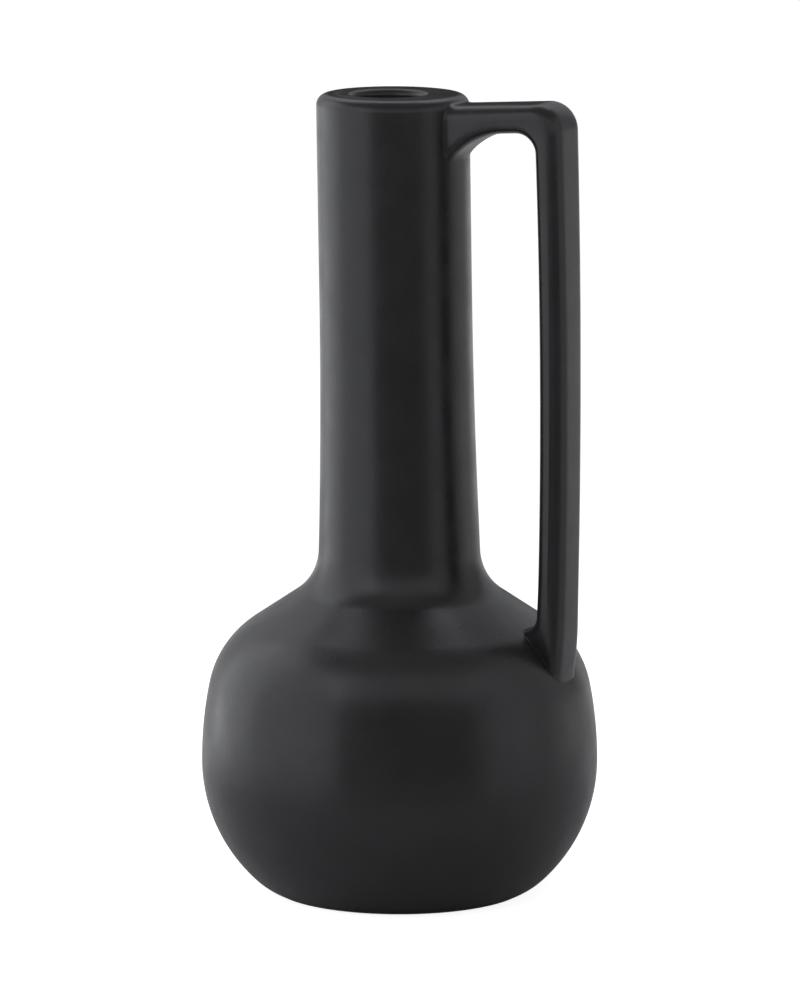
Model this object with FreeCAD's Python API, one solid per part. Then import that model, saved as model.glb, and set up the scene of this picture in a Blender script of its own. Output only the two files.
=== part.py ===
import FreeCAD, Part
import math
import os

# Lekythos: a long-necked ceramic jug with one square handle.
# Millimetres, +Z up, origin on the table under the middle of the foot.
# The handle stands towards +X, and the neck leans a little towards -X.

# Overall sizes
total_height = 300.0
belly_radius = 74.3
belly_height = 49.0
wall = 5.5

# Lower belly: an arc down from the widest ring, then an arc to the foot
lower_side_radius = 60.0
lower_side_turn_deg = 47.0
belly_foot_radius = 49.3

# Foot and floor
foot_reveal = 1.0
foot_outer_radius = 47.7
foot_inner_radius = 37.5
foot_recess = 3.5
foot_edge_round = 0.5
floor_radius = 43.0
floor_thickness = 5.5

# Shoulder: two arcs up from the widest ring, then a straight slope
shoulder_side_radius = 149.0
shoulder_side_turn_deg = 11.2
shoulder_turn_radius = 37.3
shoulder_slope_deg = 56.2

# Neck
collar_radius = 20.4
neck_radius = 28.4
neck_flare = 1.8
neck_flare_turn_deg = 2.1
neck_lean_deg = 0.95

# Mouth
mouth_thickness = 9.0
mouth_roll = 4.4
mouth_hole_radius = 13.6
mouth_hole_edge = 1.2
mouth_hole_shift = 2.0
mouth_step_radius = 17.2
mouth_step = 0.25
mouth_dish = 0.45

# Handle, seen from the side
handle_set_back = 2.9
handle_bow = 2.4
handle_waist_height = 178.0
strap_waist_thickness = 11.0
strap_hollow = 2.5
arm_thickness = 10.7
arm_top_drop = 2.5
arm_rise_deg = 3.8
corner_outer_radius = 10.3
corner_inner_radius = 7.8
web_length_share = 0.55
web_drop = 7.6
toe_radius = 7.0
toe_length = 6.9
handle_foot_height = 8.0

# Handle, seen from the end
handle_top_width = 21.6
handle_waist_width = 20.0
handle_foot_width = 20.4
handle_edge_round = 4.9
handle_root_fillet = 2.5
handle_root_sink = 0.05

# How far blanks run past what they are cut to, and how near counts as touching
overrun = 12.0
touch = 0.01

Z = FreeCAD.Vector(0, 0, 1)
ORIGIN = FreeCAD.Vector(0, 0, 0)
FULL_TURN_DEG = 360.0


def point(x, z, y=0):
    return FreeCAD.Vector(x, y, z)


def unit(angle):
    """Direction in the XZ plane at an angle from +X towards +Z."""
    return FreeCAD.Vector(math.cos(angle), 0, math.sin(angle))


def angle_of(vector):
    return math.atan2(vector.z, vector.x)


def line(a, b):
    return Part.LineSegment(a, b).toShape()


def lines(*points):
    return [line(a, b) for a, b in zip(points, points[1:])]


def arc(centre, radius, first, last):
    """Arc in the XZ plane between two angles from +X towards +Z."""
    middle = (first + last) / 2
    ends = [centre + unit(angle) * radius for angle in (first, middle, last)]
    return Part.Arc(*ends).toShape()


def solid_of_turn(edges):
    """Closed section, in order, turned about the axis from the side away from the handle."""
    section = Part.Face(Part.Wire(edges))
    section.rotate(ORIGIN, Z, FULL_TURN_DEG / 2)
    return section.revolve(ORIGIN, Z, FULL_TURN_DEG)


def slab(bottom, top):
    """Everything between two heights."""
    reach = 2 * belly_radius
    return Part.makeBox(2 * reach, 2 * reach, top - bottom, point(-reach, bottom, -reach))


def ahead_on_line(start, direction, centre, distance):
    """Point along a line from start that lies at a distance from a centre."""
    offset = start - centre
    along = offset.dot(direction)
    return start + direction * (math.sqrt(along ** 2 - offset.Length ** 2 + distance ** 2) - along)


# Angles in radians
lower_side_turn = math.radians(lower_side_turn_deg)
shoulder_side_turn = math.radians(shoulder_side_turn_deg)
shoulder_slope = math.radians(shoulder_slope_deg)
neck_flare_turn = math.radians(neck_flare_turn_deg)
neck_lean = math.radians(neck_lean_deg)
arm_rise = math.radians(arm_rise_deg)
half_turn = math.pi
quarter_turn = math.pi / 2

# Where the lower belly's two arcs lie
belly_ring = point(belly_radius, belly_height)
lower_side_centre = belly_ring - unit(0) * lower_side_radius
lower_join = lower_side_centre + unit(-lower_side_turn) * lower_side_radius
lower_chord = point(belly_foot_radius, foot_reveal) - lower_join
lower_turn_radius = lower_chord.Length ** 2 / (-2 * lower_chord.dot(unit(-lower_side_turn)))
lower_turn_centre = lower_join - unit(-lower_side_turn) * lower_turn_radius

# Where the shoulder's arcs and slope lie, and the collar that turns them upright
shoulder_side_centre = belly_ring - unit(0) * shoulder_side_radius
shoulder_join = shoulder_side_centre + unit(shoulder_side_turn) * shoulder_side_radius
shoulder_turn_centre = shoulder_join - unit(shoulder_side_turn) * shoulder_turn_radius
slope_start = shoulder_turn_centre + unit(shoulder_slope) * shoulder_turn_radius
collar_depth = collar_radius * (math.cos(neck_flare_turn) - math.cos(shoulder_slope))
slope_width = slope_start.x - (neck_radius + neck_flare) - collar_depth
slope_end = slope_start + point(-slope_width, slope_width / math.tan(shoulder_slope))
collar_centre = slope_end + unit(shoulder_slope) * collar_radius
collar_top = collar_centre - unit(neck_flare_turn) * collar_radius

# Where the neck straightens, and where the mouth sits on it
flare_radius = neck_flare / (1 - math.cos(neck_flare_turn))
flare_centre = collar_top + unit(neck_flare_turn) * flare_radius
mouth_seat = total_height - mouth_thickness
mouth_axis_x = -(mouth_seat - collar_top.z) * math.tan(neck_lean)
floor_top = foot_recess + floor_thickness


def lower_side(bottom, inset=0):
    """Side of the vessel from a height near the foot to the widest ring, moved inwards."""
    radius = lower_turn_radius - inset
    start = math.asin((bottom - lower_turn_centre.z) / radius)
    return [
        arc(lower_turn_centre, radius, start, -lower_side_turn),
        arc(lower_side_centre, lower_side_radius - inset, -lower_side_turn, 0),
    ]


def shoulder_side(inset=0):
    """Side of the vessel from the widest ring to the end of the slope."""
    slope_inset = unit(shoulder_slope) * inset
    return [
        arc(shoulder_side_centre, shoulder_side_radius - inset, 0, shoulder_side_turn),
        arc(shoulder_turn_centre, shoulder_turn_radius - inset, shoulder_side_turn, shoulder_slope),
        line(slope_start - slope_inset, slope_end - slope_inset),
    ]


def collar_side(top, inset=0):
    """Side of the vessel from the end of the slope to a height at or above the collar's top."""
    radius = collar_radius + inset
    arc_end = collar_centre - unit(neck_flare_turn) * radius
    along = unit(quarter_turn + neck_flare_turn)
    turned = arc(collar_centre, radius, half_turn + shoulder_slope, half_turn + neck_flare_turn)
    rest = (top - arc_end.z) / along.z
    return [turned] + (lines(arc_end, arc_end + along * rest) if rest > touch else [])


def neck_side(inset=0):
    """Side of the upright neck from under the collar's top to above the mouth's seat."""
    start = collar_top - unit(neck_flare_turn) * inset
    straight = point(neck_radius - inset, flare_centre.z)
    return [
        line(start - unit(quarter_turn + neck_flare_turn) * overrun, start),
        arc(flare_centre, flare_radius + inset, half_turn + neck_flare_turn, half_turn),
        line(straight, straight + Z * (mouth_seat + overrun - straight.z)),
    ]


def bottom_of(side):
    return side[0].firstVertex(True).Point


def top_of(side):
    return side[-1].lastVertex(True).Point


def filled(side):
    """Solid between a side and the vertical axis."""
    bottom = bottom_of(side)
    top = top_of(side)
    return solid_of_turn(side + lines(top, point(0, top.z), point(0, bottom.z), bottom))


def walled(outer, inner, *seat):
    """Solid between two sides, closed at the bottom along the points of a seat."""
    bottom = lines(bottom_of(inner), *seat, bottom_of(outer))
    return solid_of_turn(outer + lines(top_of(outer), top_of(inner)) + inner[::-1] + bottom)


def leaning(shape):
    """The neck's shape tipped towards -X about the middle of the collar's top."""
    tipped = shape.copy()
    tipped.rotate(point(0, collar_top.z), FreeCAD.Vector(0, 1, 0), -neck_lean_deg)
    return tipped


def belly_core(inset=0):
    top = collar_top.z + overrun
    return filled(lower_side(foot_reveal, inset) + shoulder_side(inset) + collar_side(top, inset))


def neck_core(inset=0):
    return leaning(filled(neck_side(inset)))


def mouth_side():
    """Outer wall of the mouth and the roll over it."""
    roll_centre = point(neck_radius - mouth_roll, total_height - mouth_roll)
    return [
        line(point(neck_radius, mouth_seat), roll_centre + unit(0) * mouth_roll),
        arc(roll_centre, mouth_roll, 0, quarter_turn),
    ]


def mouth_hole():
    """Step, rounded edge and bore of the mouth, a little off the middle, away from the handle."""
    top = total_height + overrun
    foot = mouth_seat - overrun
    step_z = total_height - 2 * mouth_step
    edge_centre = point(mouth_hole_radius + mouth_hole_edge, step_z - mouth_hole_edge)
    step = lines(
        point(0, top),
        point(mouth_step_radius, top),
        point(mouth_step_radius, step_z),
        edge_centre + Z * mouth_hole_edge,
    )
    bore = lines(
        edge_centre - unit(0) * mouth_hole_edge,
        point(mouth_hole_radius, foot),
        point(0, foot),
        point(0, top),
    )
    hole = solid_of_turn(step + [arc(edge_centre, mouth_hole_edge, quarter_turn, half_turn)] + bore)
    hole.translate(point(-mouth_hole_shift, 0))
    return hole


def at_mouth(shape):
    moved = shape.copy()
    moved.translate(point(mouth_axis_x, 0))
    return moved


def mouth_core():
    """Outer body of the mouth with its hole filled in."""
    side = mouth_side()
    inside = lines(top_of(side), point(0, total_height), point(0, mouth_seat), bottom_of(side))
    return at_mouth(solid_of_turn(side + inside))


def make_foot_ring():
    """Bare ring that stands on the table, stepped under the wall and the floor."""
    low = point(foot_outer_radius - foot_edge_round, 0)
    side = point(foot_outer_radius, foot_edge_round)
    round_centre = low + Z * foot_edge_round
    rest = lines(
        side,
        point(foot_outer_radius, foot_reveal),
        point(floor_radius, foot_reveal),
        point(floor_radius, foot_recess),
        point(foot_inner_radius, foot_recess),
        point(foot_inner_radius, 0),
        low,
    )
    return solid_of_turn([arc(round_centre, foot_edge_round, -quarter_turn, 0)] + rest)


def make_floor_disc():
    return Part.makeCylinder(floor_radius, floor_thickness, point(0, foot_recess))


def make_lower_belly():
    """Bowl from the foot to the widest ring, with the seat that holds the floor."""
    seat = [point(floor_radius, floor_top), point(floor_radius, foot_reveal)]
    return walled(lower_side(foot_reveal), lower_side(floor_top, wall), *seat)


def make_shoulder():
    return walled(shoulder_side(), shoulder_side(wall))


def make_neck_collar():
    return walled(collar_side(collar_top.z), collar_side(collar_top.z, wall))


def make_neck_tube():
    return neck_core().cut(neck_core(wall)).common(slab(collar_top.z, mouth_seat))


def make_mouth_ring():
    """Thick rolled lip with a shallow dish, which closes the neck down to a small round hole."""
    side = mouth_side()
    crest = top_of(side)
    lip = point(mouth_step_radius, total_height - mouth_step)
    dish = Part.Arc(crest, (crest + lip) * 0.5 - Z * mouth_dish, lip).toShape()
    inside = lines(lip, point(0, lip.z), point(0, mouth_seat), bottom_of(side))
    body = solid_of_turn(side + [dish] + inside)
    return at_mouth(body.cut(mouth_hole()))


def shoulder_height(x):
    """Height of the shoulder's surface at a radius, on its turn or on its slope."""
    if x > slope_start.x:
        across = x - shoulder_turn_centre.x
        return shoulder_turn_centre.z + math.sqrt(shoulder_turn_radius ** 2 - across ** 2)
    return slope_start.z + (slope_start.x - x) / math.tan(shoulder_slope)


# Lines of the handle seen from the side, which stands just inside the widest ring
handle_reach = belly_radius - handle_set_back
neck_edge = point(mouth_axis_x + neck_radius, total_height - arm_top_drop)
arm_along = unit(arm_rise)
arm_down = unit(arm_rise - quarter_turn)
handle_bottom = belly_height + overrun
upright_half_height = total_height - handle_waist_height
outer_bow_radius = (upright_half_height ** 2 / handle_bow + handle_bow) / 2
outer_bow_centre = point(handle_reach - outer_bow_radius, handle_waist_height)
inner_bow_radius = (upright_half_height ** 2 / strap_hollow + strap_hollow) / 2
inner_face_x = handle_reach - strap_waist_thickness
inner_bow_centre = point(inner_face_x - inner_bow_radius, handle_waist_height)
toe_height = shoulder_height(inner_face_x - toe_length)

# Centres of the handle's three corners
corner_outer_centre = ahead_on_line(
    neck_edge + arm_down * corner_outer_radius,
    arm_along,
    outer_bow_centre,
    outer_bow_radius - corner_outer_radius,
)
corner_inner_centre = ahead_on_line(
    neck_edge + arm_down * (arm_thickness + corner_inner_radius),
    arm_along,
    inner_bow_centre,
    inner_bow_radius - corner_inner_radius,
)
toe_centre = ahead_on_line(
    point(neck_edge.x, toe_height + toe_radius),
    unit(0),
    inner_bow_centre,
    inner_bow_radius - toe_radius,
)
handle_foot_top = toe_height + handle_foot_height

# The web under the arm: an arc that starts along the arm and ends on the neck
web_length = (inner_face_x - neck_edge.x) * web_length_share
web_start = neck_edge + arm_down * arm_thickness + arm_along * web_length
web_end = web_start - arm_along * web_length + point(0, -web_drop)
web_chord = web_end - web_start
web_radius = web_chord.Length ** 2 / (2 * web_chord.dot(arm_down))
web_centre = web_start + arm_down * web_radius


def handle_outline():
    """The handle's outline in the XZ plane: its outer run, inner run and hidden ends."""
    corner_end = angle_of(corner_outer_centre - outer_bow_centre)
    face_end = math.asin((handle_bottom - handle_waist_height) / outer_bow_radius)
    arm_start = neck_edge - arm_along * overrun
    outer = [
        line(arm_start, corner_outer_centre - arm_down * corner_outer_radius),
        arc(corner_outer_centre, corner_outer_radius, quarter_turn + arm_rise, corner_end),
        arc(outer_bow_centre, outer_bow_radius, corner_end, face_end),
    ]
    toe_end = angle_of(toe_centre - inner_bow_centre)
    inner_corner_start = angle_of(corner_inner_centre - inner_bow_centre)
    toe_foot = toe_centre - Z * toe_radius
    toe_back = point(toe_foot.x - overrun, toe_height)
    web_tangent = unit(angle_of(web_end - web_centre) + quarter_turn)
    web_tip = web_end + web_tangent * overrun
    inner = [
        line(toe_back, toe_foot),
        arc(toe_centre, toe_radius, -quarter_turn, toe_end),
        arc(inner_bow_centre, inner_bow_radius, toe_end, inner_corner_start),
        arc(corner_inner_centre, corner_inner_radius, inner_corner_start, quarter_turn + arm_rise),
        line(corner_inner_centre - arm_down * corner_inner_radius, web_start),
        arc(web_centre, web_radius, quarter_turn + arm_rise, angle_of(web_end - web_centre)),
        line(web_end, web_tip),
    ]
    face_foot = outer_bow_centre + unit(face_end) * outer_bow_radius
    low_end = lines(face_foot, point(toe_back.x, handle_bottom), toe_back)
    high_end = lines(web_tip, point(arm_start.x, web_tip.z), arm_start)
    return outer, low_end, inner, high_end


def handle_end_view():
    """The handle's outline in the YZ plane, narrowest at its waist."""
    heights = (handle_bottom, handle_waist_height, total_height)
    halves = (handle_foot_width / 2, handle_waist_width / 2, handle_top_width / 2)
    right = [point(0, z, y) for y, z in zip(halves, heights)]
    left = [point(0, z, -y) for y, z in zip(halves, heights)]
    edges = [Part.Arc(*right).toShape(), line(right[-1], left[-1])]
    edges += [Part.Arc(*reversed(left)).toShape(), line(left[0], right[0])]
    return Part.Face(Part.Wire(edges))


def touching(edges, shape):
    """The edges whose middles lie on a shape."""
    found = []
    for edge in edges:
        middle = edge.valueAt((edge.FirstParameter + edge.LastParameter) / 2)
        if edge.Length > touch and Part.Vertex(middle).distToShape(shape)[0] < touch:
            found.append(edge)
    return found


def handle_blank():
    """Whole handle with its ends inside the vessel and its long edges rounded."""
    outer, low_end, inner, high_end = handle_outline()
    side_view = Part.Face(Part.Wire(outer + low_end + inner + high_end))
    side_view.translate(point(0, 0, -handle_top_width))
    blank = side_view.extrude(point(0, 0, 2 * handle_top_width))
    blank = blank.common(handle_end_view().extrude(point(handle_reach + overrun, 0)))
    shown = [edge.extrude(point(0, 0, 2 * handle_top_width)) for edge in outer + inner]
    for strip in shown:
        strip.translate(point(0, 0, -handle_top_width))
    beside = [edge for edge in blank.Edges if edge.BoundBox.YMin * edge.BoundBox.YMax > 0]
    return blank.makeFillet(handle_edge_round, touching(beside, Part.Compound(shown)))


def rooted(piece, sunk_core, core):
    """End of the handle with worked-in clay, drawn on a sunk core so it runs out at an angle."""
    joined = sunk_core.fuse(piece)
    on_core = touching(joined.Edges, Part.Compound(sunk_core.Faces))
    seams = touching(on_core, Part.Compound(piece.Faces))
    return joined.makeFillet(handle_root_fillet, seams).cut(core)


def beyond(a, b):
    """Everything on the left of a line in the XZ plane, seen with +Z up and +X right."""
    reach = 2 * total_height
    along = (b - a).normalize()
    left = FreeCAD.Vector(-along.z, 0, along.x)
    near = [a - along * reach, a + along * reach]
    far = [corner + left * reach for corner in reversed(near)]
    outline = lines(*near, *far, near[0])
    side = Part.Face(Part.Wire(outline))
    side.translate(point(0, 0, -reach))
    return side.extrude(point(0, 0, 2 * reach))


def make_handle_root(blank):
    """End of the arm on the neck, with the web under it."""
    near_neck = blank.common(beyond(web_start, web_start - arm_down * arm_thickness))
    near_neck = near_neck.common(slab(handle_waist_height, total_height))
    sunk_neck = neck_core(handle_root_sink).common(slab(handle_waist_height, total_height))
    root = rooted(near_neck, sunk_neck, neck_core()).cut(mouth_core())
    return root.cut(beyond(neck_edge, corner_outer_centre - arm_down * corner_outer_radius))


def make_handle_arm(blank):
    """Bar from the root to the mitre at the corner."""
    past_root = blank.cut(beyond(web_start, web_start - arm_down * arm_thickness))
    return past_root.common(beyond(corner_inner_centre, corner_outer_centre))


def make_handle_upright(blank):
    """Tall strap from the mitre down to the worked foot."""
    below_mitre = blank.cut(beyond(corner_inner_centre, corner_outer_centre))
    return below_mitre.common(slab(handle_foot_top, total_height))


def make_handle_foot(blank):
    """Foot of the strap, flared out on the shoulder."""
    low_end = blank.common(slab(handle_bottom, handle_foot_top))
    sunk_belly = belly_core(handle_root_sink).common(slab(belly_height, collar_top.z))
    return rooted(low_end, sunk_belly, belly_core())


def save(node, shape):
    """Writes one sub-part and prints its solids and volume."""
    shape.exportStep(f"parts/{node}.step")
    print(node, len(shape.Solids), "solid", round(shape.Volume), "cubic mm")


os.makedirs("parts", exist_ok=True)
save("foot_ring", make_foot_ring())
save("floor_disc", make_floor_disc())
save("lower_belly", make_lower_belly())
save("shoulder", make_shoulder())
save("neck_collar", make_neck_collar())
save("neck_tube", make_neck_tube())
save("mouth_ring", make_mouth_ring())
handle = handle_blank()
save("handle_root", make_handle_root(handle))
save("handle_arm", make_handle_arm(handle))
save("handle_upright", make_handle_upright(handle))
save("handle_foot", make_handle_foot(handle))
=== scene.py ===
import math
import bpy
import bmesh
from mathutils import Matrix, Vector
from mathutils.bvhtree import BVHTree


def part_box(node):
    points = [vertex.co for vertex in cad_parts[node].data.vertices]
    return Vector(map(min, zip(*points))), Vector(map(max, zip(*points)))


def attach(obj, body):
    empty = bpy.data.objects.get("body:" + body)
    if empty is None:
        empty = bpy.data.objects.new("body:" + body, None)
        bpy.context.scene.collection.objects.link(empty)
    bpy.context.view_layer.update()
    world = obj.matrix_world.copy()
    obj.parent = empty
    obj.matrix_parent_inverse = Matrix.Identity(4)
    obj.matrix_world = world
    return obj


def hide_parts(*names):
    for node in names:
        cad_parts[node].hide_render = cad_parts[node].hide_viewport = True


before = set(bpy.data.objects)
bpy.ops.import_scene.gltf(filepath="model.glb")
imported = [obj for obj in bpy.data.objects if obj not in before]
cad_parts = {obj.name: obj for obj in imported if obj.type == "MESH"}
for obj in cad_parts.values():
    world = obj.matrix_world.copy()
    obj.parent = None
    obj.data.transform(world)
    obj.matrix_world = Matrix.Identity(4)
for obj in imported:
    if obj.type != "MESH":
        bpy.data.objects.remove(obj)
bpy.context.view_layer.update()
mm = 0.001  # outlines are drawn in millimetres

print("stage: frame loaded")

# heights and radii that the fixed frame already holds
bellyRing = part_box("shoulder")[1].x / mm
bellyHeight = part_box("shoulder")[0].z / mm
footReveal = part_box("lower_belly")[0].z / mm
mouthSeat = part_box("mouth_ring")[0].z / mm
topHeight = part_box("mouth_ring")[1].z / mm
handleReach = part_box("handle_upright")[1].x / mm
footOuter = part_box("foot_ring")[1].x / mm
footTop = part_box("foot_ring")[1].z / mm
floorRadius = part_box("floor_disc")[1].x / mm
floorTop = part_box("floor_disc")[1].z / mm


# Drawing and turning

drawing = {
    "row": 1.6, "rowTurn": 5,  # spacing of the rows on an arc, and the most degrees between two of them
    "straightRow": 6.4,  # spacing of the rows on a straight stretch
    "hold": 0.2, "holdShare": 0.25,  # close row beside each joint, so that the gloss runs on unbroken
    "turnSteps": 176,
    "weld": 0.004,  # vertices closer than this become one
    "sharpAngle": 38,
}


def clearSelection():
    if bpy.context.object and bpy.context.object.mode != "OBJECT":
        bpy.ops.object.mode_set(mode="OBJECT")
    bpy.ops.object.select_all(action="DESELECT")


def rename(piece, name):
    piece.name = name
    piece.data.name = name
    return piece


def finishMesh(piece, sharpAngle=drawing["sharpAngle"]):
    bpy.ops.mesh.select_all(action="SELECT")
    bpy.ops.mesh.remove_doubles(threshold=drawing["weld"] * mm)
    bpy.ops.mesh.normals_make_consistent(inside=False)
    bpy.ops.object.mode_set(mode="OBJECT")
    bpy.ops.object.shade_smooth_by_angle(angle=math.radians(sharpAngle))
    return piece


def turned(name, outline, sharpAngle=drawing["sharpAngle"]):
    # one vertex is drawn along the outline, and the outline is spun about the axis
    clearSelection()
    bpy.ops.mesh.primitive_plane_add(size=mm)
    piece = rename(bpy.context.object, name)
    bpy.ops.object.mode_set(mode="EDIT")
    bpy.ops.mesh.merge(type="CENTER")
    start = outline[0]
    bpy.ops.transform.translate(value=(start[0] * mm, 0, start[1] * mm))
    for a, b in zip(outline, outline[1:]):
        step = ((b[0] - a[0]) * mm, 0, (b[1] - a[1]) * mm)
        bpy.ops.mesh.extrude_region_move(TRANSFORM_OT_translate={"value": step})
    bpy.ops.mesh.select_all(action="SELECT")
    bpy.ops.mesh.spin(steps=drawing["turnSteps"], angle=2 * math.pi, center=(0, 0, 0), axis=(0, 0, 1))
    return finishMesh(piece, sharpAngle)


def on(centre, radius, deg):
    # point on a circle, angles from +X towards +Z
    turn = math.radians(deg)
    return (centre[0] + radius * math.cos(turn), centre[1] + radius * math.sin(turn))


def arcRun(centre, radius, startDeg, endDeg):
    # points on an arc, with a close row at both ends
    start, end = math.radians(startDeg), math.radians(endDeg)
    steps = max(2, round(abs(end - start) * radius / drawing["row"]),
                round(abs(endDeg - startDeg) / drawing["rowTurn"]))
    hold = math.copysign(min(drawing["hold"] / radius, abs(end - start) * drawing["holdShare"]), end - start)
    angles = [start, start + hold]
    angles += [start + (end - start) * i / steps for i in range(1, steps)]
    angles += [end - hold, end]
    return [(centre[0] + radius * math.cos(a), centre[1] + radius * math.sin(a)) for a in angles]


def lineRun(a, b):
    # points on a straight stretch, with a close row at both ends
    length = math.dist(a, b)
    steps = max(1, round(length / drawing["straightRow"]))
    hold = min(drawing["hold"] / length, drawing["holdShare"])
    shares = [0, hold] + [i / steps for i in range(1, steps)] + [1 - hold, 1]
    return [(a[0] + (b[0] - a[0]) * s, a[1] + (b[1] - a[1]) * s) for s in shares]


def eased(share):
    # runs from 0 to 1 with a soft start and a soft end
    share = min(max(share, 0), 1)
    return share * share * (3 - 2 * share)


# The vessel's side, from the foot to the mouth

vessel = {
    "wall": 5.5,
    "leanFrom": 112.0, "leanEase": 30.0, "lean": 0.0166,  # sideways per unit of height
}
belly = {
    "footRadius": 49.3,  # where the glaze stops
    "ringRadius": 60.0, "ringTurn": 47.0,  # arc under the widest ring
}
shoulder = {
    "sideRadius": 149.0, "sideTurn": 11.2,  # nearly upright arc over the widest ring
    "turnRadius": 37.3, "slope": 56.2,  # arc that turns in, and the slope it ends in
}
collar = {"radius": 20.4, "flareTurn": 2.1}
neck = {"radius": 28.4, "flare": 1.8}

# where each arc of the side has its centre, and where it meets the next
ringCentre = (bellyRing - belly["ringRadius"], bellyHeight)
sideCentre = (bellyRing - shoulder["sideRadius"], bellyHeight)
sideEnd = on(sideCentre, shoulder["sideRadius"], shoulder["sideTurn"])
turnCentre = on(sideEnd, -shoulder["turnRadius"], shoulder["sideTurn"])
slopeStart = on(turnCentre, shoulder["turnRadius"], shoulder["slope"])
slopeTurn = math.radians(shoulder["slope"])
flareTurn = math.radians(collar["flareTurn"])
collarDepth = collar["radius"] * (math.cos(flareTurn) - math.cos(slopeTurn))
slopeWidth = slopeStart[0] - (neck["radius"] + neck["flare"]) - collarDepth
slopeEnd = (slopeStart[0] - slopeWidth, slopeStart[1] + slopeWidth / math.tan(slopeTurn))
collarCentre = on(slopeEnd, collar["radius"], shoulder["slope"])
collarTop = on(collarCentre, -collar["radius"], collar["flareTurn"])
flareRadius = neck["flare"] / (1 - math.cos(flareTurn))
flareCentre = on(collarTop, flareRadius, collar["flareTurn"])


def lowerJoin():
    # centre and radius of the arc that runs on from the one under the widest ring, down to the foot
    join = on(ringCentre, belly["ringRadius"], -belly["ringTurn"])
    dx, dz = belly["footRadius"] - join[0], footReveal - join[1]
    turn = math.radians(-belly["ringTurn"])
    radius = -(dx * dx + dz * dz) / (2 * (dx * math.cos(turn) + dz * math.sin(turn)))
    return on(join, -radius, -belly["ringTurn"]), radius


# each side runs upwards, and the inset moves it in by a wall
def lowerSide(bottom, inset=0):
    centre, radius = lowerJoin()
    radius -= inset
    startDeg = math.degrees(math.asin((bottom - centre[1]) / radius))
    side = arcRun(centre, radius, startDeg, -belly["ringTurn"])
    return side + arcRun(ringCentre, belly["ringRadius"] - inset, -belly["ringTurn"], 0)


def shoulderSide(inset=0):
    side = arcRun(sideCentre, shoulder["sideRadius"] - inset, 0, shoulder["sideTurn"])
    side += arcRun(turnCentre, shoulder["turnRadius"] - inset, shoulder["sideTurn"], shoulder["slope"])
    return side + lineRun(on(slopeStart, -inset, shoulder["slope"]), on(slopeEnd, -inset, shoulder["slope"]))


def collarSide(inset=0):
    return arcRun(collarCentre, collar["radius"] + inset, 180 + shoulder["slope"], 180 + collar["flareTurn"])


def neckSide(inset=0):
    side = arcRun(flareCentre, flareRadius + inset, 180 + collar["flareTurn"], 180)
    straight = neck["radius"] - inset
    return side + lineRun((straight, flareCentre[1]), (straight, mouthSeat))


mouth = {
    "roll": 4.4,  # rounding over the outer edge
    "dishFrom": 21.6, "dishTo": 20.0, "dish": 0.2, "ridge": 17.6,  # shallow dish round the hole
    "lip": 15.9, "lipDepth": 2.4, "hole": 13.6,  # the lip rounds down into the hole
    "undercut": 0.6,  # and the hole widens again below it
    "shift": 2.0, "shiftFrom": 24.0, "shiftTo": 18.5,  # the hole sits off the middle, away from the handle
    "fallSteps": 8, "lipSteps": 14, "sharpAngle": 50,
}


def mouthOutside():
    # up the side, over the roll, down into the dish and up to the ridge round the hole
    crest = neck["radius"] - mouth["roll"]
    rollBase = topHeight - mouth["roll"]
    dish = topHeight - mouth["dish"]
    outside = lineRun((neck["radius"], mouthSeat), (neck["radius"], rollBase))
    outside += arcRun((crest, rollBase), mouth["roll"], 0, 90)
    dishStart, dishEnd = (mouth["dishFrom"], dish), (mouth["dishTo"], dish)
    for a, b in (((crest, topHeight), dishStart), (dishEnd, (mouth["ridge"], topHeight))):
        for i in range(1, mouth["fallSteps"] + 1):
            share = i / mouth["fallSteps"]
            outside.append((a[0] + (b[0] - a[0]) * share, a[1] + (b[1] - a[1]) * eased(share)))
    return outside


def mouthInside():
    # round the lip down into the hole, and down the hole to the neck
    width, depth = mouth["lip"] - mouth["hole"], mouth["lipDepth"]
    inside = []
    for i in range(mouth["lipSteps"] + 1):
        turn = math.pi / 2 * i / mouth["lipSteps"]
        inside.append((mouth["lip"] - width * math.sin(turn), topHeight - depth + depth * math.cos(turn)))
    return inside + [(mouth["hole"] + mouth["undercut"], mouthSeat)]


def offMiddle(piece):
    # moves what lies round the hole sideways, easing out over the dish
    for vertex in piece.data.vertices:
        radius = math.hypot(vertex.co.x, vertex.co.y) / mm
        share = (mouth["shiftFrom"] - radius) / (mouth["shiftFrom"] - mouth["shiftTo"])
        vertex.co.x -= mouth["shift"] * eased(share) * mm
    return piece


def leanAt(z):
    # how far the vessel has moved sideways at a height, both in metres
    over = z / mm - vessel["leanFrom"]
    if over <= 0:
        return 0.0
    ease = vessel["leanEase"]
    run = over * over / (2 * ease) if over < ease else over - ease / 2
    return -vessel["lean"] * run * mm


def lean(piece):
    for vertex in piece.data.vertices:
        vertex.co.x += leanAt(vertex.co.z)
    return piece


def closed(outer, inner, seat=()):
    # outline of a wall: up its outside, down its inside, over what it sits on and back to the start
    return outer + inner[::-1] + list(seat) + [outer[0]]


def makeVessel():
    wall = vessel["wall"]
    floorSeat = [(floorRadius, floorTop), (floorRadius, footReveal)]
    bowlOutline = closed(lowerSide(footReveal), lowerSide(floorTop, wall), floorSeat)
    mouthOutline = closed(mouthOutside(), mouthInside()[::-1])
    return {
        "lower_belly": turned("lowerBelly", bowlOutline),
        "shoulder": turned("shoulder", closed(shoulderSide(), shoulderSide(wall))),
        "neck_collar": lean(turned("neckCollar", closed(collarSide(), collarSide(wall)))),
        "neck_tube": lean(turned("neckTube", closed(neckSide(), neckSide(wall)))),
        "mouth_ring": lean(offMiddle(turned("mouthRing", mouthOutline, mouth["sharpAngle"]))),
    }


footRing = {"inner": 37.5, "edge": 0.5, "innerEdge": 0.8}


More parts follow.
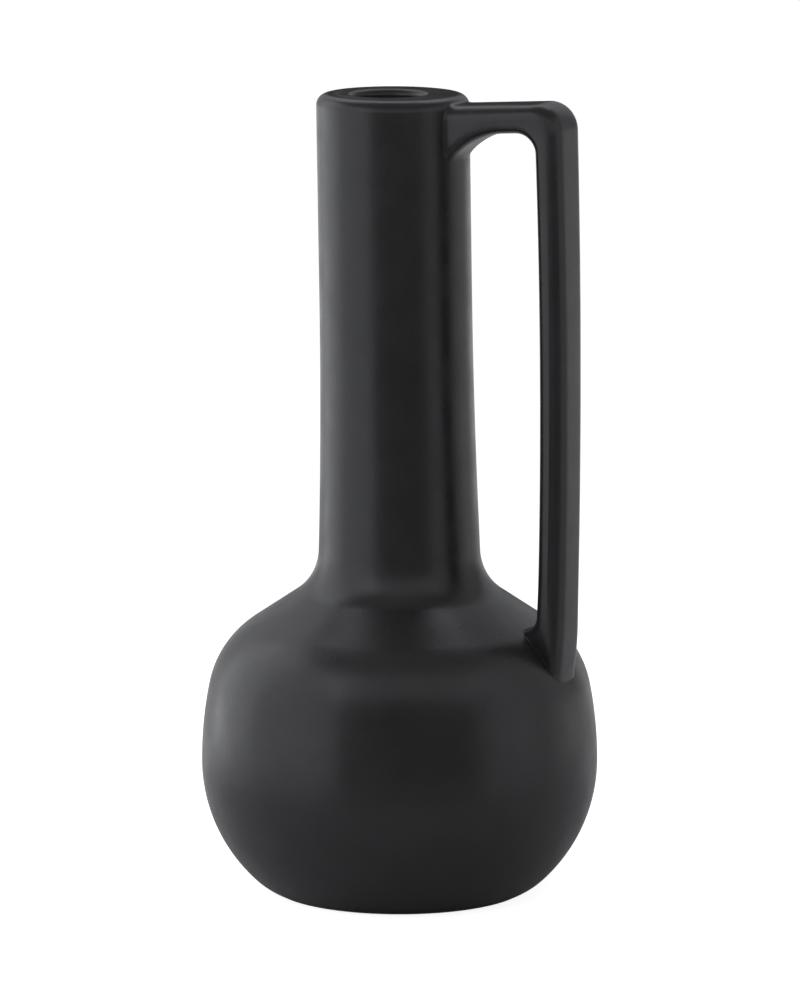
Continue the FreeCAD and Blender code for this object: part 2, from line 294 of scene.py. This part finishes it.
def makeFootRing():
    inner, edge, innerEdge = footRing["inner"], footRing["edge"], footRing["innerEdge"]
    outline = arcRun((footOuter - edge, edge), edge, -90, 0)
    outline += [(footOuter, footReveal), (floorRadius, footReveal), (floorRadius, footTop), (inner, footTop)]
    outline += arcRun((inner + innerEdge, innerEdge), innerEdge, 180, 270)
    return turned("footRing", outline + [outline[0]])


floorDisc = {"rings": 24}


def makeFloorDisc():
    rings = floorDisc["rings"]
    outline = [(0, footTop), (floorRadius, footTop)]
    outline += [(floorRadius * (1 - i / rings), floorTop) for i in range(rings + 1)]
    return turned("floorDisc", outline)


# The handle, drawn as rows of a rounded section from the neck to the shoulder

section = {
    "halfWidths": ((61.0, 10.2), (178.0, 10.0), (300.0, 10.8)),  # a height, and half the width there
    "edge": 5.2, "edgeShare": 0.97, "edgeSteps": 8,  # rounding, at most this share of half the thickness
    "crown": 0.1, "flatSteps": 5,  # the flats swell a little
    "buried": 9.0,  # how far the rows run on inside the vessel
    "rowHold": 0.08,  # share of a row's length for the close row beside a joint
}
arm = {
    "topDrop": 2.5, "rise": 3.8, "thick": 10.7,
    "webShare": 0.55, "webDrop": 7.6,  # curved web under the root
    "webTuck": 0.985,  # how much of a quarter of the web's circle is used
    "rows": 26,
}
corner = {
    "outer": 10.3, "inner": 7.8, "lastTurn": 1.0,  # the upright leans by about a degree where the corner ends
    "rows": 22, "guess": 20.0, "rounds": 30,
}
upright = {
    "waistHeight": 178.0, "thick": 11.0, "outerBow": 3102.0, "innerBow": 2978.0,
    "tuckFrom": 105.0, "tuck": 0.0036,  # the outer face turns in a little where it is smoothed down
    "straightTo": 128.0, "rows": 30,
}
toe = {
    "radius": 7.0, "length": 6.9, "pinch": 0.3,
    "outerEnd": 64.0,  # height that the outer face runs down to, inside the shoulder
    "rows": 44, "footAfter": 8,  # the handle's foot begins after so many of them
}


def halfWidth(z):
    # parabola through the three widths
    (za, a), (zb, b), (zc, c) = section["halfWidths"]
    return (a * (z - zb) * (z - zc) / ((za - zb) * (za - zc))
            + b * (z - za) * (z - zc) / ((zb - za) * (zb - zc))
            + c * (z - za) * (z - zb) / ((zc - za) * (zc - zb)))


def sectionRow(inner, outer, pinch=0.0):
    # rounded section between two points of the handle's plane, as wide as the handle is there,
    # and narrower at its inner face by the share of a pinch
    across = outer - inner
    half = across.length / 2
    across.normalize()
    middle = (inner + outer) / 2
    wide = halfWidth(middle.y)
    edge = min(section["edge"], half * section["edgeShare"])
    row = []
    for signU, signV, first in ((1, 1, 0), (-1, 1, 90), (-1, -1, 180), (1, -1, 270)):
        middleU, middleV = (half - edge) * signU, (wide - edge) * signV
        for i in range(section["edgeSteps"] + 1):
            turn = math.radians(first + 90 * i / section["edgeSteps"])
            row.append((middleU + edge * math.cos(turn), middleV + edge * math.sin(turn)))
        last = row[-1]
        out = (math.cos(turn), math.sin(turn))
        span = 2 * (half - edge) if first in (0, 180) else 2 * (wide - edge)
        for i in range(1, section["flatSteps"]):
            share = i / section["flatSteps"]
            swell = section["crown"] * math.sin(math.pi * share)
            row.append((last[0] - out[1] * span * share + out[0] * swell,
                        last[1] + out[0] * span * share + out[1] * swell))
    row = [(u, v * (1 - pinch * (0.5 - u / half / 2))) for u, v in row]
    return [Vector((middle.x + across.x * u, v, middle.y + across.y * u)) * mm for u, v in row]


def outerFace(z):
    tuck = max(upright["tuckFrom"] - z, 0) ** 2 * upright["tuck"]
    return handleReach - tuck - (z - upright["waistHeight"]) ** 2 / (2 * upright["outerBow"])


def innerFace(z):
    return handleReach - upright["thick"] - (z - upright["waistHeight"]) ** 2 / (2 * upright["innerBow"])


def shoulderHeight(x):
    # height of the vessel's side at a distance from its axis
    if x > slopeStart[0]:
        return turnCentre[1] + math.sqrt(shoulder["turnRadius"] ** 2 - (x - turnCentre[0]) ** 2)
    return slopeStart[1] + (slopeStart[0] - x) / math.tan(slopeTurn)


def cornerCentre(start, ahead, down, radius, face):
    # centre of a corner that touches both the arm's line and the upright's face
    reach = corner["guess"]
    for _ in range(corner["rounds"]):
        centre = start + down * radius + ahead * reach
        reach += face(centre.y) - radius - centre.x
    return start + down * radius + ahead * reach


def armRun(neckEdge, ahead, down, innerCorner, outerCorner):
    # pairs of an under and a top point from inside the neck to the corner, and where the web ends
    under = neckEdge + down * arm["thick"]
    underEnd = (innerCorner - under).dot(ahead)
    topEnd = (outerCorner - neckEdge).dot(ahead)
    webLength = (handleReach - upright["thick"] - neckEdge.x) * arm["webShare"]
    chord = -ahead * webLength - Vector((0, arm["webDrop"]))
    webRadius = chord.length_squared / (2 * chord.dot(down))
    pairs = []
    for i in range(arm["rows"] + 1):
        low = -section["buried"] + (underEnd + section["buried"]) * i / arm["rows"]
        high = -section["buried"] + (topEnd + section["buried"]) * i / arm["rows"]
        back = min(max(webLength - low, 0), webRadius * arm["webTuck"])
        drop = webRadius - math.sqrt(webRadius ** 2 - back ** 2)
        pairs.append((under + ahead * low + down * drop, neckEdge + ahead * high))
        if low < webLength:
            webEnd = i
    return pairs, webEnd


def cornerRun(innerCorner, outerCorner):
    # pairs of points round the corner, and which of them lies in its middle
    first, last, rows = 90 + arm["rise"], corner["lastTurn"], corner["rows"]
    pairs = []
    for i in range(1, rows + 1):
        turn = first + (last - first) * i / rows
        pairs.append((Vector(on(innerCorner, corner["inner"], turn)),
                      Vector(on(outerCorner, corner["outer"], turn))))
    return pairs, rows // 2 - 1


def uprightRun(innerFrom, outerFrom):
    # pairs of points down the upright, which end level
    pairs, rows = [], upright["rows"]
    for i in range(1, rows + 1):
        inner, outer = [z + (upright["straightTo"] - z) * i / rows for z in (innerFrom, outerFrom)]
        pairs.append((Vector((innerFace(inner), inner)), Vector((outerFace(outer), outer))))
    return pairs


def toeRun():
    # the inner point rounds the toe while the outer one runs down the face
    toeHeight = shoulderHeight(handleReach - upright["thick"] - toe["length"])
    toeTop = toeHeight + toe["radius"]
    centre = Vector((innerFace(toeTop) - toe["radius"], toeTop))
    straight = upright["straightTo"] - centre.y
    quarter = toe["radius"] * math.pi / 2
    total = straight + quarter + section["buried"]
    pairs, pinches = [], []
    for i in range(1, toe["rows"] + 1):
        run = total * i / toe["rows"]
        turn = min(max(run - straight, 0), quarter) / toe["radius"]
        if run <= straight:
            inner = Vector((innerFace(upright["straightTo"] - run), upright["straightTo"] - run))
        else:
            inner = centre + Vector((math.cos(turn), -math.sin(turn))) * toe["radius"]
            inner.x -= max(run - straight - quarter, 0)
        z = upright["straightTo"] + (toe["outerEnd"] - upright["straightTo"]) * i / toe["rows"]
        pairs.append((inner, Vector((outerFace(z), z))))
        pinches.append(toe["pinch"] * (turn * toe["radius"] / quarter) ** 2)
    return pairs, pinches


def handleRows():
    # all rows from the neck to the shoulder, and where the root ends, the upright and the foot begin
    rise = math.radians(arm["rise"])
    ahead, down = Vector((math.cos(rise), math.sin(rise))), Vector((math.sin(rise), -math.cos(rise)))
    neckEdge = Vector((neck["radius"] + leanAt(mouthSeat * mm) / mm, topHeight - arm["topDrop"]))
    under = neckEdge + down * arm["thick"]
    outerCorner = cornerCentre(neckEdge, ahead, down, corner["outer"], outerFace)
    innerCorner = cornerCentre(under, ahead, down, corner["inner"], innerFace)
    pairs, webEnd = armRun(neckEdge, ahead, down, innerCorner, outerCorner)
    cornerPairs, middle = cornerRun(innerCorner, outerCorner)
    mitre = len(pairs) + middle
    pairs += cornerPairs
    pairs += uprightRun(pairs[-1][0].y, pairs[-1][1].y)
    footStart = len(pairs) + toe["footAfter"]
    toePairs, toePinches = toeRun()
    pinches = [0.0] * len(pairs) + toePinches
    rows = [sectionRow(inner, outer, pinch) for (inner, outer), pinch in zip(pairs + toePairs, pinches)]
    return rows, webEnd, mitre, footStart


# How the handle's ends lie down on the vessel. Each face has its reach up the handle, its reach out
# on the vessel, and how nearly it runs out flush, where 1 is flush.

rootEnd = {"side": (2.8, 1.0, 1.0), "outer": (3.4, 1.6, 1.0), "inner": (3.0, 1.8, 1.0)}
footEnd = {"side": (0.5, 0.12, 0.0), "outer": (5.0, 1.8, 0.9), "inner": (1.2, 0.4, 0.3)}
ends = {
    "fan": 12,  # rows over which the cut turns to follow the vessel
    "steps": 8, "sink": 0.05,  # rows of the worked-in edge, and how deep the last one lies
    "halvings": 18,
}


def rowWeights():
    # how much each point of a row belongs to the sides, the outer and the inner face
    waist, wide = section["halfWidths"][1]
    weights = []
    for point in sectionRow(Vector((0, waist)), Vector((upright["thick"], waist))):
        u, v = point.x / mm / upright["thick"] * 2 - 1, point.y / mm / wide
        side = 1 - (u * u / (u * u + v * v)) ** 2
        weights.append({"side": side, "outer": (1 - side) * (u > 0), "inner": (1 - side) * (u <= 0)})
    return weights


def pointOn(path, place):
    i = min(int(place), len(path) - 2)
    return path[i].lerp(path[i + 1], place - i)


def meeting(path, skin):
    # place on a path where it goes into the vessel, to a fraction of a step
    def outside(point):
        near, normal, _, _ = skin.find_nearest(point)
        return (point - near).dot(normal) > 0

    low = float(next(i for i in range(len(path)) if not outside(path[i])) - 1)
    high = low + 1
    for _ in range(ends["halvings"]):
        middle = (low + high) / 2
        if outside(pointOn(path, middle)):
            low = middle
        else:
            high = middle
    return high


def backFrom(path, place, length):
    # place on a path that lies a length before another
    while place > 0 and length > 0:
        before = max(math.ceil(place) - 1, 0)
        step = (pointOn(path, place) - pointOn(path, before)).length
        if step >= length:
            return place - (place - before) * length / step
        length -= step
        place = before
    return place


def landed(rows, skin, end):
    # the last rows are drawn again as a worked-in edge that lies down on the vessel
    paths = [list(path) for path in zip(*rows)]
    count = len(paths)
    meets = [meeting(path, skin) for path in paths]
    feet = [pointOn(path, place) for path, place in zip(paths, meets)]
    middle = sum(feet, Vector()) / count
    sizes = [[sum(weight[face] * end[face][k] for face in end) for k in range(3)] for weight in rowWeights()]
    places = [backFrom(path, place, up * mm) for path, place, (up, _, _) in zip(paths, meets, sizes)]
    kept = max(1, int(min(places)) - 1)
    result = rows[:kept]
    for s in range(1, ends["fan"]):
        share = s / ends["fan"]
        result.append([pointOn(path, kept - 1 + (place - kept + 1) * share)
                       for path, place in zip(paths, places)])
    curves = []
    for j in range(count):
        _, reach, flush = sizes[j]
        _, normal, _, _ = skin.find_nearest(feet[j])
        # the way out from the handle, along the vessel
        out = (feet[(j + 2) % count] - feet[j - 2]).cross(normal).normalized()
        if out.dot(feet[j] - middle) < 0:
            out = -out
        start = pointOn(paths[j], places[j])
        landing, landNormal, _, _ = skin.find_nearest(feet[j] + out * reach * mm)
        curves.append((start, start.lerp(feet[j], flush), landing, landNormal))
    for s in range(ends["steps"] + 1):
        t = s / ends["steps"]
        sink = ends["sink"] * mm if s == ends["steps"] else 0
        result.append([start * (1 - t) ** 2 + hold * 2 * t * (1 - t) + (landing - normal * sink) * t ** 2
                       for start, hold, landing, normal in curves])
    return result


def held(rows):
    # adds the close rows beside the two joints
    share = section["rowHold"]
    first = [a.lerp(b, share) for a, b in zip(rows[0], rows[1])]
    last = [b.lerp(a, share) for a, b in zip(rows[-2], rows[-1])]
    return [rows[0], first] + rows[1:-1] + [last, rows[-1]]


def lofted(name, rows):
    # a disc takes the first row's shape and is extruded from row to row
    clearSelection()
    bpy.ops.mesh.primitive_circle_add(vertices=len(rows[0]), radius=mm, fill_type="NGON")
    piece = rename(bpy.context.object, name)
    bpy.ops.object.mode_set(mode="EDIT")
    shape = bmesh.from_edit_mesh(piece.data)
    place = shape.verts.layers.int.new("place")
    for vertex in shape.verts:
        vertex[place] = vertex.index
        vertex.co = rows[0][vertex.index]
    bmesh.update_edit_mesh(piece.data)
    for row in rows[1:]:
        bpy.ops.mesh.extrude_region_move()
        shape = bmesh.from_edit_mesh(piece.data)
        place = shape.verts.layers.int["place"]
        for vertex in shape.verts:
            if vertex.select:
                vertex.co = row[vertex[place]]
        bmesh.update_edit_mesh(piece.data)
    return finishMesh(piece)


def vesselSkin():
    # outer surface only, facing out, for the handle's ends to lie down on
    helper = lean(turned("vesselSkin", shoulderSide() + collarSide() + neckSide() + mouthOutside()))
    shape = bmesh.new()
    shape.from_mesh(helper.data)
    outward = 0
    for face in shape.faces:
        centre = face.calc_center_median()
        outward += face.normal.x * centre.x + face.normal.y * centre.y
    if outward < 0:
        bmesh.ops.reverse_faces(shape, faces=shape.faces)
    skin = BVHTree.FromBMesh(shape)
    shape.free()
    bpy.data.objects.remove(helper)
    return skin


def makeHandle():
    rows, webEnd, mitre, footStart = handleRows()
    skin = vesselSkin()
    return {
        "handle_root": lofted("handleRoot", landed(rows[webEnd::-1], skin, rootEnd)),
        "handle_arm": lofted("handleArm", held(rows[webEnd:mitre + 1])),
        "handle_upright": lofted("handleUpright", held(rows[mitre:footStart + 1])),
        "handle_foot": lofted("handleFoot", landed(rows[footStart:], skin, footEnd)),
    }


pieces = makeVessel()
pieces["foot_ring"] = makeFootRing()
pieces["floor_disc"] = makeFloorDisc()
print("stage: vessel turned")
pieces.update(makeHandle())
print("stage: handle drawn")


# Finishes. A noise is its scale, detail and roughness, and a bump is its strength and its depth in metres.

def fill(tree, node, inputs):
    # an input is set to a value, or linked where it is given another node's output
    for name, value in inputs.items():
        if isinstance(value, bpy.types.NodeSocket):
            tree.links.new(value, node.inputs[name])
        else:
            node.inputs[name].default_value = value


def addNode(tree, kind, inputs=None, operation=None):
    node = tree.nodes.new("ShaderNode" + kind)
    if operation:
        node.operation = operation
    fill(tree, node, inputs or {})
    return node


def newMaterial(name):
    material = bpy.data.materials.new(name)
    material.use_nodes = True
    tree = material.node_tree
    return material, tree, tree.nodes["Principled BSDF"], addNode(tree, "TexCoord").outputs["Object"]


def noise(tree, coords, scale, detail, roughness=0.5):
    inputs = {"Vector": coords, "Scale": scale, "Detail": detail, "Roughness": roughness}
    return addNode(tree, "TexNoise", inputs).outputs["Fac"]


def ramp(tree, source, places, colours):
    node = addNode(tree, "ValToRGB", {"Fac": source})
    for element, place, colour in zip(node.color_ramp.elements, places, colours):
        element.position = place
        element.color = (*colour, 1)
    return node.outputs["Color"]


def mapRange(tree, source, fromLow, fromHigh, toLow, toHigh):
    inputs = {"Value": source, "From Min": fromLow, "From Max": fromHigh, "To Min": toLow, "To Max": toHigh}
    return addNode(tree, "MapRange", inputs).outputs["Result"]


def bump(tree, height, strength, depth, under=None):
    inputs = {"Height": height, "Strength": strength, "Distance": depth}
    if under:
        inputs["Normal"] = under
    return addNode(tree, "Bump", inputs).outputs["Normal"]


glaze = {
    "colour": (0.0130, 0.0128, 0.0138), "paler": (0.0175, 0.0172, 0.0185),
    "mottle": (55.0, 5.0, 0.6), "mottleRange": (0.35, 0.7),
    "roughness": 0.36, "smoother": 0.29, "ior": 1.5,
    "patches": (93.5, 4.0), "patchRange": (0.35, 0.65),  # where it is a little smoother
    "wave": (32.0, 1.0), "waveBump": (0.25, 0.0016),
    "peel": (650.0, 2.0), "peelBump": (0.4, 0.00007),
    "specks": 330.0, "speckReach": 0.165, "speckBump": (0.5, 0.00012),
}


def makeGlaze():
    material, tree, shader, coords = newMaterial("blackGlaze")
    mottle = noise(tree, coords, *glaze["mottle"])
    patches = noise(tree, coords, *glaze["patches"])
    wave = noise(tree, coords, *glaze["wave"])
    peel = noise(tree, coords, *glaze["peel"])
    cells = addNode(tree, "TexVoronoi", {"Vector": coords, "Scale": glaze["specks"]}).outputs["Distance"]
    specks = mapRange(tree, cells, 0.0, glaze["speckReach"], 1.0, 0.0)  # one in the middle of each cell
    normal = bump(tree, wave, *glaze["waveBump"])
    normal = bump(tree, peel, *glaze["peelBump"], normal)
    normal = bump(tree, specks, *glaze["speckBump"], normal)
    fill(tree, shader, {
        "Base Color": ramp(tree, mottle, glaze["mottleRange"], (glaze["colour"], glaze["paler"])),
        "Roughness": mapRange(tree, patches, *glaze["patchRange"], glaze["smoother"], glaze["roughness"]),
        "IOR": glaze["ior"],
        "Normal": normal,
    })
    return material


clay = {
    "colour": (0.24, 0.185, 0.14), "darker": (0.13, 0.10, 0.08), "roughness": 0.85,
    "grain": (1400.0, 6.0, 0.7), "grainRange": (0.3, 0.7), "grainBump": (0.5, 0.0002),
}


def makeClay():
    material, tree, shader, coords = newMaterial("bareClay")
    grain = noise(tree, coords, *clay["grain"])
    fill(tree, shader, {
        "Base Color": ramp(tree, grain, clay["grainRange"], (clay["darker"], clay["colour"])),
        "Roughness": clay["roughness"],
        "Normal": bump(tree, grain, *clay["grainBump"]),
    })
    return material


finishes = {"black_glaze": makeGlaze(), "bare_clay": makeClay()}
for node, piece in pieces.items():
    slot = "bare_clay" if node == "foot_ring" else "black_glaze"
    piece.data.materials.append(finishes[slot])
    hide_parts(node)
    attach(piece, "root")
print("stage: finishes set")


# Camera, panels, room and floor

camera = {
    "distance": 2.5, "tilt": 9.801, "side": 26.0, "aim": (0.00014, 0.14758),
    "lens": 240.95, "sensor": 36.0, "clipEnd": 20.0,
}
sideTurn, tiltTurn = math.radians(camera["side"]), math.radians(camera["tilt"])
toCamera = Vector((math.sin(sideTurn), -math.cos(sideTurn), 0))
toRight = Vector((math.cos(sideTurn), math.sin(sideTurn), 0))
aim = toRight * camera["aim"][0] + Vector((0, 0, camera["aim"][1]))


def makeCamera():
    bpy.ops.object.camera_add()
    view = bpy.context.object
    view.data.lens = camera["lens"]
    view.data.sensor_fit = "VERTICAL"
    view.data.sensor_height = camera["sensor"]
    view.data.clip_end = camera["clipEnd"]
    away = toCamera * math.cos(tiltTurn) + Vector((0, 0, math.sin(tiltTurn)))
    view.location = aim + away * camera["distance"]
    view.rotation_euler = (aim - view.location).to_track_quat("-Z", "Y").to_euler()
    bpy.context.scene.camera = view


# soft panels close round the jug, as in a light tent: the two directions that a panel spans, in degrees
# from the camera towards its right, how far off it stands, its bottom, its top and its brightness
panels = {
    "leftFront": (-34, -84, 0.42, 0.0, 0.62, 0.90),
    "leftBack": (-86, -134, 0.42, 0.0, 0.62, 1.32),
    "rightFront": (45, 84, 0.42, 0.0, 0.62, 0.49),
    "rightBack": (88, 118, 0.42, 0.0, 0.62, 0.32),
    "frontTop": (-48, 48, 0.46, 0.28, 0.50, 0.46),
    "backLeft": (-136, -170, 0.46, 0.03, 0.60, 0.50),
    "backRight": (132, 168, 0.46, 0.03, 0.60, 0.42),
}
# level panels overhead: how far in front of the jug, width, depth and brightness
overhead = {"ceiling": (0.12, 0.5, 0.3, 0.07), "ceilingBack": (-0.25, 0.47, 0.28, 1.40)}
tent = {
    "height": 0.66, "tint": (0.93, 0.945, 1.0),
    "raisedAim": 0.09,  # height that the panels clear of the floor face, while the others face level
}


def addPanel(name, place, turn, width, height, brightness):
    bpy.ops.object.light_add(type="AREA", location=place)
    panel = bpy.context.object
    panel.name = name
    panel.data.shape = "RECTANGLE"
    panel.data.size, panel.data.size_y = width, height
    panel.data.energy = brightness * math.pi * width * height
    panel.data.color = tent["tint"]
    panel.visible_camera = False
    panel.rotation_euler = turn


def makeTent():
    for name, (start, end, distance, low, high, brightness) in panels.items():
        corners = [(toCamera * math.cos(math.radians(a)) + toRight * math.sin(math.radians(a))) * distance
                   for a in (start, end)]
        middle = (corners[0] + corners[1]) / 2 + Vector((0, 0, (low + high) / 2))
        facing = Vector((0, 0, middle.z if low == 0 else tent["raisedAim"]))
        turn = (facing - middle).to_track_quat("-Z", "Y").to_euler()
        addPanel(name, middle, turn, (corners[0] - corners[1]).length, high - low, brightness)
    for name, (ahead, width, depth, brightness) in overhead.items():
        place = toCamera * ahead + Vector((0, 0, tent["height"]))
        addPanel(name, place, (0, 0, sideTurn), width, depth, brightness)


# strength of the world's light on the jug, level all round and dimmer straight behind it
room = {"level": 0.22, "behind": 0.03, "from": 0.75, "to": 0.96}


def makeRoom():
    # white as the camera sees it, and dim all round as the jug sees it
    world = bpy.data.worlds.new("room")
    bpy.context.scene.world = world
    world.use_nodes = True
    tree = world.node_tree
    coords = addNode(tree, "TexCoord").outputs["Generated"]
    away = addNode(tree, "VectorMath", {0: coords, 1: -toCamera}, "DOT_PRODUCT")  # 1 straight behind the jug
    dim = mapRange(tree, away.outputs["Value"], room["from"], room["to"], room["level"], room["behind"])
    seen = addNode(tree, "LightPath").outputs["Is Camera Ray"]
    level = addNode(tree, "Math", {0: dim, 1: seen}, "MAXIMUM")
    fill(tree, tree.nodes["Background"], {"Color": (1, 1, 1, 1), "Strength": level.outputs["Value"]})


# white to the camera, and behind the jug a painted glow that only glossy rays see, so that the jug's gloss
# shows a painted reflection of a pale floor there
floorLook = {
    "size": 8.0, "colour": (0.7, 0.7, 0.7, 1), "roughness": 0.9, "white": 0.88,
    "behind": 0.38, "from": -0.05, "to": -0.5,
}


def makeFloor():
    clearSelection()
    bpy.ops.mesh.primitive_plane_add(size=floorLook["size"])
    floor = rename(bpy.context.object, "floor")
    material, tree, shader, coords = newMaterial("paleFloor")
    rays = addNode(tree, "LightPath").outputs
    # how far in front of the jug a spot lies
    ahead = addNode(tree, "VectorMath", {0: coords, 1: toCamera}, "DOT_PRODUCT").outputs["Value"]
    behind = mapRange(tree, ahead, floorLook["from"], floorLook["to"], 0.0, floorLook["behind"])
    # painted reflection: the floor behind the jug glows for glossy rays only
    glossGlow = addNode(tree, "Math", {0: behind, 1: rays["Is Glossy Ray"]}, "MULTIPLY").outputs["Value"]
    whiteInputs = {0: rays["Is Camera Ray"], 1: floorLook["white"], 2: glossGlow}
    white = addNode(tree, "Math", whiteInputs, "MULTIPLY_ADD")
    fill(tree, shader, {
        "Base Color": floorLook["colour"],
        "Roughness": floorLook["roughness"],
        "Specular IOR Level": 0.0,
        "Emission Color": (1, 1, 1, 1),
        "Emission Strength": white.outputs["Value"],
    })
    floor.data.materials.append(material)


makeCamera()
makeTent()
makeRoom()
makeFloor()
bpy.context.scene.view_settings.view_transform = "Standard"
print("stage: camera, room and lights set")
